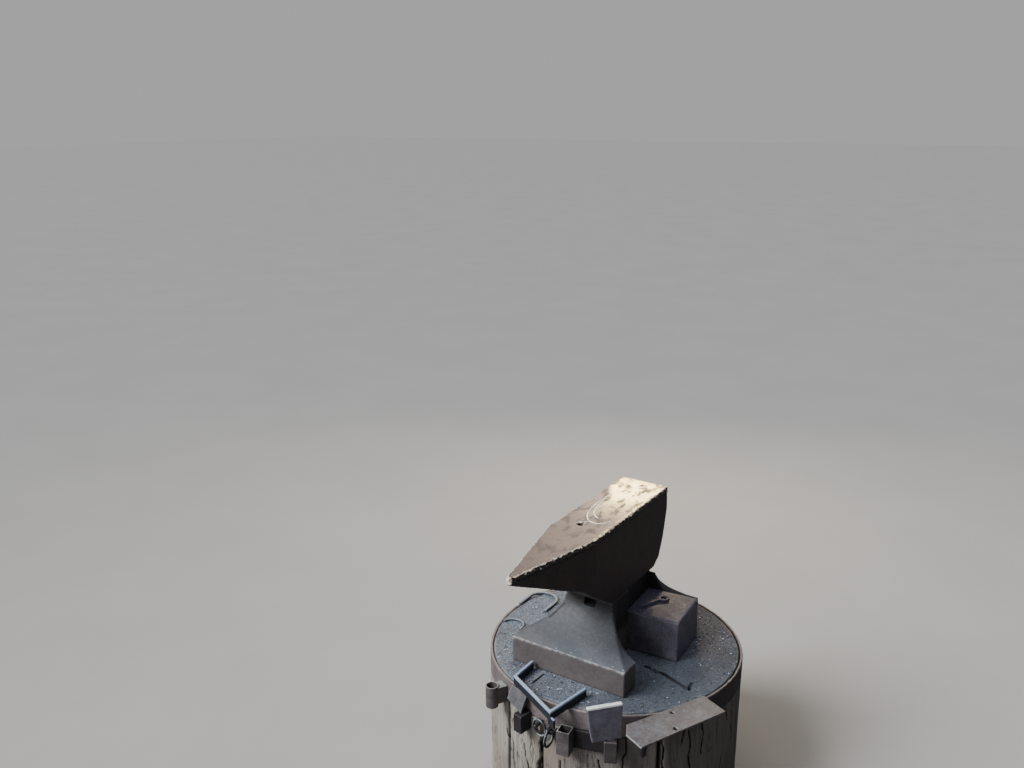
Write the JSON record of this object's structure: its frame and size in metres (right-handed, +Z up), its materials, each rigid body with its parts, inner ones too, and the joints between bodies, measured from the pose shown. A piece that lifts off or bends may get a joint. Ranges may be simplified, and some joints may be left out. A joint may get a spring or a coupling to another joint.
{
  "type": "blacksmith's anvil on a hooped log stand",
  "caption": "Forged square-horned anvil with a side upsetting block, on an iron-hooped log that carries tool sockets, a tool loop and a shelf plate",
  "frame": {"origin": "on the floor, at the axis of the log", "axes": "+Z up; the horn points to -X and the heel to +X; the upsetting block stands on the -Y side"},
  "size_m": [0.7558, 0.6406, 0.706],
  "materials": {
    "log_wood": "bare weathered wood with dark shrinkage cracks, top covered in iron scale",
    "hoop_iron": "dark brown forged band, worn bright along its upper edge",
    "base_iron": "blue-grey forged iron under fine scale dust",
    "body_iron": "nearly black forged iron with a dull sheen",
    "face_steel": "used working face, hammered and chipped along its edges",
    "block_iron": "dark forged iron, top dusted with scale",
    "bar_iron": "blue-grey flat bar with worn light edges",
    "socket_iron": "dark forged iron with worn rims",
    "plate_steel": "dull light steel plate, dusty at the back"
  },
  "bodies": {
    "root": {"log": "log_wood", "hoop": "hoop_iron", "hoop_lap_end": "hoop_iron", "anvil_base": "base_iron", "anvil_body": "body_iron", "horn": "body_iron", "face_plate": "face_steel", "upsetting_block": "block_iron", "tool_loop": "bar_iron", "pipe_socket": "socket_iron", "pipe_saddle": "socket_iron", "square_socket": "socket_iron", "socket_strap": "socket_iron", "lean_plate": "plate_steel", "lean_plate_block": "socket_iron", "hung_plate": "bar_iron", "hung_plate_bracket": "socket_iron", "shelf_plate": "plate_steel", "shelf_bracket": "socket_iron", "ring_peg": "socket_iron", "ring_staple": "socket_iron", "hook_ring_left": "socket_iron", "hook_ring_right": "socket_iron", "horseshoe": "bar_iron", "bent_spike": "bar_iron", "eye_bolt": "bar_iron", "loose_rod": "plate_steel"}
  },
  "joints": []
}
